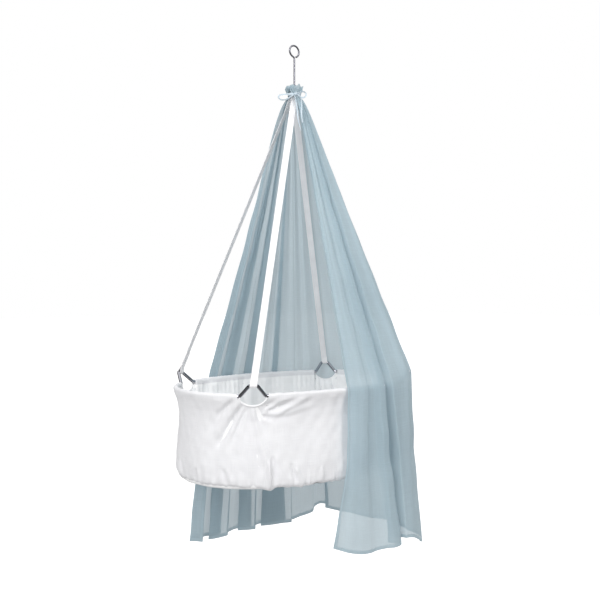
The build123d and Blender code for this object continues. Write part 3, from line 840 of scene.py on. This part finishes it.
def strap_leg(corner, saddle_r, side):
    """Line and width direction of half a strap, from its sewn end to beside the link's bar."""
    top = np.array([0, side * (saddle_r + STRAP_T / 2), LINK_BAR_Z])
    peak, run, pull, wide, face = strap_frame(corner, top)
    round_r = RIM_R + STRAP_T / 2 + 0.0003
    half = STRAP_T / 2 + 0.0002
    inside = [(LAP_END - 0.002 - 0.0035 * k, -half) for k in range(17)]
    turns = np.radians(np.linspace(-62, -298, 26))
    loop = [(round_r * math.cos(a), round_r * math.sin(a)) for a in turns]
    outside = [(p, half) for p in np.arange(0.018, LAP_END, 0.004)]
    flat = np.array(inside + loop + outside)
    lower = peak + flat[:, :1] * run + flat[:, 1:] * face
    share = np.linspace(0, 1, 160)[1:, None]
    line = np.concatenate([lower, lower[-1] + (top - lower[-1]) * share])
    turn = np.concatenate([np.zeros(len(lower)), share[:, 0]])[:, None]
    square = unit(np.cross(pull, [0, 0, 1.0]))
    square = square * (1 if square @ wide > 0 else -1)
    last = step(turn, 0.90, 1.0)
    across = unit((wide * (1 - turn) + square * turn) * (1 - last) + ALONG_BAR * last)
    return line, across


def strap(name, corner_near, corner_far, layer):
    """A strap from one peak over the link's bar to the peak across; layer 0 lies under layer 1."""
    inner = LINK_R + 0.0001 + layer * (STRAP_T + 0.0005)
    near, near_across = strap_leg(corner_near, inner, -1)
    far, far_across = strap_leg(corner_far, inner, 1)
    radius = inner + STRAP_T / 2
    angle = np.linspace(math.pi, 0, 17)[1:-1]
    saddle = np.stack([0 * angle, radius * np.cos(angle), LINK_BAR_Z + radius * np.sin(angle)], -1)
    line = np.concatenate([near, saddle, far[::-1]])
    across = np.concatenate([near_across, np.tile(ALONG_BAR, (len(saddle), 1)), far_across[::-1]])
    line = smoothed(line, 1.2)
    return ribbon(name + "_webbing", line, across, STRAP_W, STRAP_T)


def stitches(name, corner):
    """Two rows of thread along the lap above a peak and two across it, on both faces."""
    peak, run, _, wide, face = strap_frame(corner, np.array([0, 0, LINK_BAR_Z]))
    wide = unit(wide - unit(run) * (wide @ unit(run)))
    made = []
    first, last = LOOP_LENGTH + 0.003, LAP_END - 0.005
    edge = STRAP_W / 2 - 0.0035
    runs = [((first, q), (last, q)) for q in (-edge, edge)]
    runs += [((p, -edge), (p, edge)) for p in (first, last)]
    for (p0, q0), (p1, q1) in runs:
        count = int(math.hypot(p1 - p0, q1 - q0) / STITCH)
        for k in range(count):
            a, b = (k + 0.15) / count, (k + 0.85) / count
            spots = [peak + run * (p0 + (p1 - p0) * t) + wide * (q0 + (q1 - q0) * t)
                     for t in (a, (a + b) / 2, b)]
            for side in (1, -1):
                lift = [face * side * (STRAP_T + 0.0003 + bow) for bow in (-0.0002, 0.0003, -0.0002)]
                made.append(tube_mesh("stitch", [e + u for e, u in zip(spots, lift)], THREAD_R, 5))
    return joined(name, made)


def make_straps():
    tape = webbing()
    thread = woven("white_thread", (0.84, 0.84, 0.85), (0.92, 0.92, 0.93), 0.0006)
    for name, near, far, layer in (("strap_inner", "left_near", "right_far", 0),
                                   ("strap_outer", "right_near", "left_far", 1)):
        put(strap(name, near, far, layer), tape, "cradle", "webbing", name)
    for corner in CORNERS:
        put(stitches(f"lap_stitches_{corner}", corner), thread, "cradle", "webbing")


# ======== canopy

NECK_Z = -0.160
NECK_R = 0.0205
LINK_ROOM = 0.0218          # least radius of the cloth beside the link's ends
TIE_Z = -0.154
RUFFLE_TOP_Z = -0.122
SHOULDER_Z = RIM_Z + 0.036
MID_Z = -1.400
# Lengths down the cloth from the tie to its shoulder, the rim, mid height and the hem
SHOULDER_DOWN, RIM_DOWN, MID_DOWN, HEM_DOWN = 0.965, 1.0, 1.24, 1.58
NECK_BEARINGS = (143.0, -120.0)             # of the cloth's two free edges, in degrees
RUFFLE_BEARINGS = (176.0, -176.0)
GATHERS, PUFFS = 15, 9                      # below the tie and in the ruffle
EDGE_WRAP = 38.0            # degrees that the far free edge is wrapped round at the neck
EDGE_BULGE = 0.010          # and how far its fold swings out below the tie,
BULGE_DOWN = 0.13           # most of all this far down
NECK_SPREAD = 0.011         # the cloth stands off the straps just below the tie
SHOULDER_IN = 0.011         # how far the cloth draws in just above the rim, between the peaks
PEAK_REACH = 0.042          # how far along the rim a peak holds the cloth out
CLOTH_COLUMNS = 820
# How far the folds are rounded at the rim, at mid height and at the hem, and the hem's height
FOLD_SOFTNESS = (0.0022, 0.0030, 0.0038, 0.02)
# The cloth's folds from the far free edge round the right end to the near one, in thousandths:
# place along the rim and distance outside it at the rim, at mid height and at the hem, and the
# hem's height. A place that goes back makes a pleat of three layers.
FOLDS = [
    # free edge, turned in on itself at the far left
    (-150, 13, -185, 14, -226, 6, -1745), (-186, 22, -226, 28, -268, 34, -1734),
    (-150, 30, -178, 36, -206, 44, -1742), (-66, 28, -92, 34, -110, 40, -1750),
    # second panel
    (-131, 21, -156, 24, -184, 28, -1752), (-90, 13, -114, 13, -140, 12, -1755),
    (-52, 12, -76, 10, -103, 6, -1752), (-47, 21, -71, 26, -98, 30, -1748),
    (-18, 28, -38, 34, -60, 42, -1748), (20, 25, 22, 32, 26, 38, -1750),
    # third panel
    (-26, 19, -36, 22, -47, 26, -1752), (8, 12, -2, 12, -10, 12, -1754),
    (50, 12, 34, 8, 18, 2, -1752), (55, 19, 40, 24, 24, 28, -1748),
    (92, 27, 92, 34, 92, 42, -1748), (126, 25, 148, 30, 172, 36, -1749),
    # fourth panel, with the widest overlap
    (95, 18, 74, 22, 51, 26, -1752), (135, 12, 122, 12, 110, 12, -1754),
    (190, 12, 184, 8, 179, 0, -1752), (195, 19, 190, 22, 186, 24, -1749),
    (235, 28, 236, 36, 238, 44, -1748), (262, 26, 275, 42, 288, 58, -1744),
    # round the far right peak
    (272, 29, 283, 54, 296, 80, -1722), (288, 35, 302, 64, 316, 92, -1712),
    (305, 41, 325, 62, 344, 86, -1722), (318, 43, 322, 56, 328, 70, -1728),
    (332, 42, 340, 52, 350, 62, -1732), (352, 36, 364, 48, 376, 58, -1740),
    # the right end
    (385, 22, 402, 44, 420, 68, -1748), (420, 13, 438, 30, 455, 50, -1750),
    (455, 20, 472, 32, 490, 46, -1750), (490, 27, 508, 46, 525, 66, -1750),
    (525, 14, 542, 44, 560, 76, -1750), (562, 13, 581, 34, 600, 58, -1752),
    (602, 23, 621, 40, 640, 60, -1755), (640, 26, 657, 52, 675, 80, -1758),
    (672, 14, 686, 48, 700, 86, -1760), (706, 13, 720, 40, 735, 74, -1757),
    # round the near right peak, under the cloth's own fold
    (745, 22, 758, 38, 770, 64, -1745), (780, 31, 788, 44, 795, 64, -1730),
    (802, 36, 806, 43, 815, 62, -1716), (825, 37, 828, 44, 836, 62, -1704),
    (848, 36, 848, 43, 856, 60, -1694), (872, 29, 868, 42, 872, 60, -1688),
    (905, 29, 892, 40, 884, 57, -1684), (950, 33, 920, 42, 896, 56, -1682),
    # the recess between the two near panels
    (955, 11, 922, 5, 896, 6, -1690), (975, 11, 944, 0, 912, -2, -1694),
    (1002, 11, 984, 5, 942, 8, -1697), (982, 22, 956, 28, 908, 44, -1704),
    # near panel, with a soft valley at its middle
    (992, 33, 970, 38, 930, 51, -1703), (1016, 29, 998, 34, 962, 47, -1700),
    (1027, 12, 1014, 16, 988, 36, -1698), (1040, 11.5, 1032, 12, 1010, 32, -1697),
    (1051, 12, 1048, 16, 1036, 33, -1696), (1064, 24, 1072, 28, 1066, 37, -1694),
    (1092, 22, 1100, 26, 1108, 34, -1689), (1122, 15, 1128, 20, 1160, 27, -1674),
    (1147, 13, 1153, 16, 1208, 18, -1652),
]


def resampled(values, places, wanted, soft):
    """Values given at places along the cloth, at other places and blurred by soft metres."""
    fine = np.linspace(0, places[-1], 2400)
    dense = np.stack([np.interp(fine, places, column) for column in np.asarray(values, float).T], -1)
    dense = smoothed(dense, soft / (fine[1] - fine[0]))
    return np.stack([np.interp(wanted, fine, column) for column in dense.T], -1)


def bearings(ends, share):
    """Directions round the neck, spread evenly from one end's to the other's."""
    return np.radians(ends[0] + (ends[1] - ends[0]) * share)


def canopy_points():
    """Rows of points down the cloth, its width, and the places of its columns across it."""
    table = np.split(np.array(FOLDS, float) * MM, (2, 4, 6), axis=1)
    places = lengths(on_rim(*table[2].T, 0))
    wanted = np.linspace(0, places[-1], CLOTH_COLUMNS)
    rim_level, mid_level, hem_level, hem_z = (
        resampled(level, places, wanted, soft) for level, soft in zip(table, FOLD_SOFTNESS))
    s, n = rim_level.T
    round_peak = sum(np.exp(-((s - PEAKS[corner]) / PEAK_REACH)**4) for corner in ("right_far", "right_near"))
    shoulder = on_rim(s, n - SHOULDER_IN * (1 - np.clip(round_peak, 0, 1)), SHOULDER_Z)
    share = (s - s.min()) / (s.max() - s.min())
    bearing = bearings(NECK_BEARINGS, share) + math.radians(EDGE_WRAP) * (1 - step(wanted, 0.0, 0.06))
    reach = NECK_R + 0.10 * (n - n.mean())
    at_neck = np.stack([reach * np.cos(bearing), reach * np.sin(bearing), 0 * s + NECK_Z], -1)
    levels = np.stack([at_neck, shoulder, on_rim(s, n, RIM_Z), on_rim(*mid_level.T, MID_Z),
                       on_rim(*hem_level.T, hem_z[:, 0])])
    at = np.array([0, SHOULDER_DOWN, RIM_DOWN, MID_DOWN, HEM_DOWN])
    down = np.concatenate([np.linspace(0, 0.06, 9)[:-1], np.linspace(0.06, 0.93, 46)[:-1],
                           np.linspace(0.93, 1.05, 30)[:-1], np.linspace(1.05, HEM_DOWN, 46)])
    rows = []
    for d in down:
        k = min(np.searchsorted(at, d, side="right") - 1, len(at) - 2)
        t = (d - at[k]) / (at[k + 1] - at[k])
        rows.append(levels[k] * (1 - t) + levels[k + 1] * t)
    body = smoothed(np.stack(rows), 1.1)
    body[0] = at_neck
    ease(body, down, wanted)
    return np.concatenate([ruffle_rows(wanted, places[-1], share), body]), places[-1], wanted


def ease(body, down, u):
    """Moves the cloth's rows in and out: gathers under the tie, a swell over the straps, sway."""
    gathers = gather_waves(u, u[-1])
    sway = waves(u, 0.30, 91, 7)
    near_edge = 1 - step(u, 0.03, 0.16)
    for row, d in zip(body, down):
        to_shoulder = d / SHOULDER_DOWN
        gathered = 0.0022 * (1 - math.exp(-d / 0.03)) + 0.0190 * d * math.exp(-d / 0.22)
        bulge = EDGE_BULGE * d / BULGE_DOWN * math.exp(1 - d / BULGE_DOWN)
        held = 0.7 * step(d, 0.9, RIM_DOWN) * (1 - step(d, 1.05, 1.15))
        loose = 0.0014 * waves2(u, np.full_like(u, d), 0.17, 92) * step(d, 0.1, 0.4) * (1 - held)
        away = unit(row * [1, 1, 0])
        for amount in (gathers * gathered,
                       NECK_SPREAD * (1 - math.exp(-d / 0.026)) * max(0.0, 1 - to_shoulder)**2 + 0 * u,
                       bulge * near_edge, 0.002 * sway * math.sin(math.pi * min(1, to_shoulder)), loose):
            row += away * amount[:, None]


def gather_waves(u, width):
    """The cloth's gathers at the neck, pointed outward and round inward."""
    phase = 2 * math.pi * GATHERS * u / width + 1.6 * waves(u, 0.4, 81, 5)
    return np.sin(phase) + 0.35 * np.sin(2 * phase + 0.6) + 0.25 * waves(u, 0.06, 82, 5)


def ruffle_rows(u, width, share):
    """The frill above the tie: folds that open upward and lean about."""
    around, below = bearings(RUFFLE_BEARINGS, share), bearings(NECK_BEARINGS, share)
    phase = 2 * math.pi * PUFFS * u / width + 0.9 * waves(u, 0.5, 83, 4)
    wave = 2 * np.abs(np.sin(phase / 2))**0.7 - 1.3 + 0.25 * np.sin(1.3 * phase + 1.0)
    lean = waves(u, 0.33, 84, 5)
    top = RUFFLE_TOP_Z - 0.0045 * (1 - np.sin(phase + 0.8)) + 0.002 * waves(u, 0.12, 85, 5)
    rows = []
    for t in np.linspace(1, 0, 17)[:-1]:
        waist = NECK_R - 0.0012 * math.sin(math.pi * min(1, t * 3))
        radius = waist + 0.0058 * t**1.2 + 0.0095 * t**0.7 * wave
        radius = radius + 0.0006 * gather_waves(u, width) * (1 - t)
        bearing = below + (around - below) * step(t, 0.0, 0.5) + 0.10 * lean * t + 0.22 * t * np.cos(phase)
        # the link's two ends need room when the cradle swings sideways
        radius = np.maximum(radius, LINK_ROOM * np.exp(-(np.sin(bearing) / 0.5)**8))
        rows.append(np.stack([radius * np.cos(bearing), radius * np.sin(bearing),
                              NECK_Z + (top - NECK_Z) * t], -1))
    return np.stack(rows)


def make_canopy():
    points, width, columns = canopy_points()
    down = lengths(points)
    mesh = grid("canopy_cloth", points, spread(columns, down))
    piece = put(mesh, voile(float(width), float(down[-1])), "cradle", "voile", "canopy")


# ======== tie wrap and knot


def make_tie(paint):
    """Two turns of tape round the gathered neck, and the knot that holds the bow."""
    turns = []
    bearing = np.linspace(0, 2 * math.pi, 121)
    for k, z in enumerate((TIE_Z - 0.0026, TIE_Z + 0.0026)):
        reach = NECK_R + 0.0022 + 0.0004 * np.sin(9 * bearing + k) + 0.0003 * k
        tilt = 0.0008 * np.sin(bearing + 1.3 * k)
        line = np.stack([reach * np.cos(bearing), reach * np.sin(bearing), z + tilt], -1)
        turns.append(ribbon("turn", line, np.tile([0, 0, 1.0], (len(line), 1)), TAPE_W, TAPE_T, 1.1))
    put(joined("neck_tape", turns), paint, "cradle", "tape", "tie_wrap")
    centre = np.array(KNOT) * MM
    out = bow_place(0, 1, 0) / MM
    side = bow_place(1, 0, 0) / MM
    up = np.array([0, 0, 1.0])
    strands = []
    a = np.linspace(0, 2 * math.pi, 41)[:, None]
    for tilt, size, lift in ((0.35, 1.0, 0.0), (-0.5, 0.9, 0.0012), (1.45, 0.8, 0.002)):
        long_way = math.cos(tilt) * up + math.sin(tilt) * side
        ring = centre + out * (lift - 0.0005) + (
            np.cos(a) * KNOT_DEEP * size * out + np.sin(a) * KNOT_LONG * size * long_way)
        width = np.tile(math.cos(tilt) * side - math.sin(tilt) * up, (len(ring), 1))
        strands.append(ribbon("strand", ring, width, TAPE_W * 0.9, TAPE_T * 1.6, 1.1))
    put(joined("bow_knot", strands), paint, "cradle", "tape", "tie_knot")


# ======== mattress

PAD_INSET = -0.0385         # of its edge from the rim's oval
PIPE_R = 0.0018


def make_mattress():
    """A crowned foam mattress in its cotton cover, with a piped seam at the top and the bottom."""
    low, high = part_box("mattress_cover")
    s = np.linspace(0, RIM_LENGTH, 420, endpoint=False)
    half = (high.z - low.z) / 2
    middle = (high.z + low.z) / 2
    rows = []
    for share in np.linspace(0, 0.93, 22):
        rows.append((share, -half * (0.90 + 0.10 * math.cos(share * math.pi / 2))))
    last_angle = math.radians(60)
    for angle in np.radians(np.linspace(-60, 60, 15)):
        rows.append((0.972 + 0.028 * math.cos(angle), half * 0.90 * math.sin(angle) / math.sin(last_angle)))
    for share in np.linspace(0.93, 0, 22):
        rows.append((share, half * (0.86 + 0.14 * math.cos(share * math.pi / 2))))
    edge = on_rim(s, PAD_INSET, 0)
    points = []
    for share, z in rows:
        ripple = 0.0008 * waves2(edge[:, 0] * share, edge[:, 1] * share + 3 * z, 0.09, 95)
        pinch = 0.0010 * waves(s, 0.03, 96, 7, RIM_LENGTH) * np.exp(-((abs(z) - half * 0.9) / 0.006)**2)
        scale = 1 + (ripple + pinch) * step(share, 0.8, 1.0) / END_R
        points.append(np.stack([edge[:, 0] * share * scale, edge[:, 1] * share * scale,
                                middle + z + ripple * (1 if z > 0 else -0.3)], -1))
    points = np.stack(points)
    cover = sealed(grid("mattress_pad", points, spread_round(s, lengths(points)), wrap=True))
    cloth = woven("cotton_cover", (0.80, 0.80, 0.79), (0.89, 0.89, 0.88), 0.0012, bump=0.3, slub=50,
                  wrinkle=0.5)
    pad = put(cover, cloth, "mattress", "cotton_cover", "mattress_cover", "mattress_core")
    piping = []
    for sign in (-1, 1):
        line = on_rim(s, PAD_INSET - 0.0028, middle + sign * half * 0.90)
        piping.append(tube_mesh("piping", line, PIPE_R, 8, closed=True))
    put(joined("mattress_piping", piping), cloth, "mattress", "cotton_cover")


# ======== CAD pieces that stay


def paint_cad():
    """Gives the metal, wood and touch tape of the CAD their materials."""
    finishes = {"hanger_rod": metal("zinc_steel", (0.30, 0.30, 0.34), 0.38, 0.10),
                "strap_link": metal("link_steel", (0.42, 0.42, 0.46), 0.20, 0.14),
                "rim_frame": metal("chrome_plate", (0.50, 0.50, 0.54), 0.05, 0.06),
                "base_board": plywood(),
                "casing_closures": woven("touch_tape", (0.70, 0.70, 0.71), (0.86, 0.86, 0.87), 0.002,
                                         bump=0.6)}
    for name, finish in finishes.items():
        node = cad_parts[name]
        node.data.materials.clear()
        node.data.materials.append(finish)
        node.data.shade_smooth()


make_camera()
tape_paint = woven("cotton_tape", (0.48, 0.58, 0.65), (0.64, 0.72, 0.78), 0.0009, slub=90)
make_bow(tape_paint)
make_stage()
make_light()
make_bag()
make_straps()
make_canopy()
make_tie(tape_paint)
make_mattress()
paint_cad()
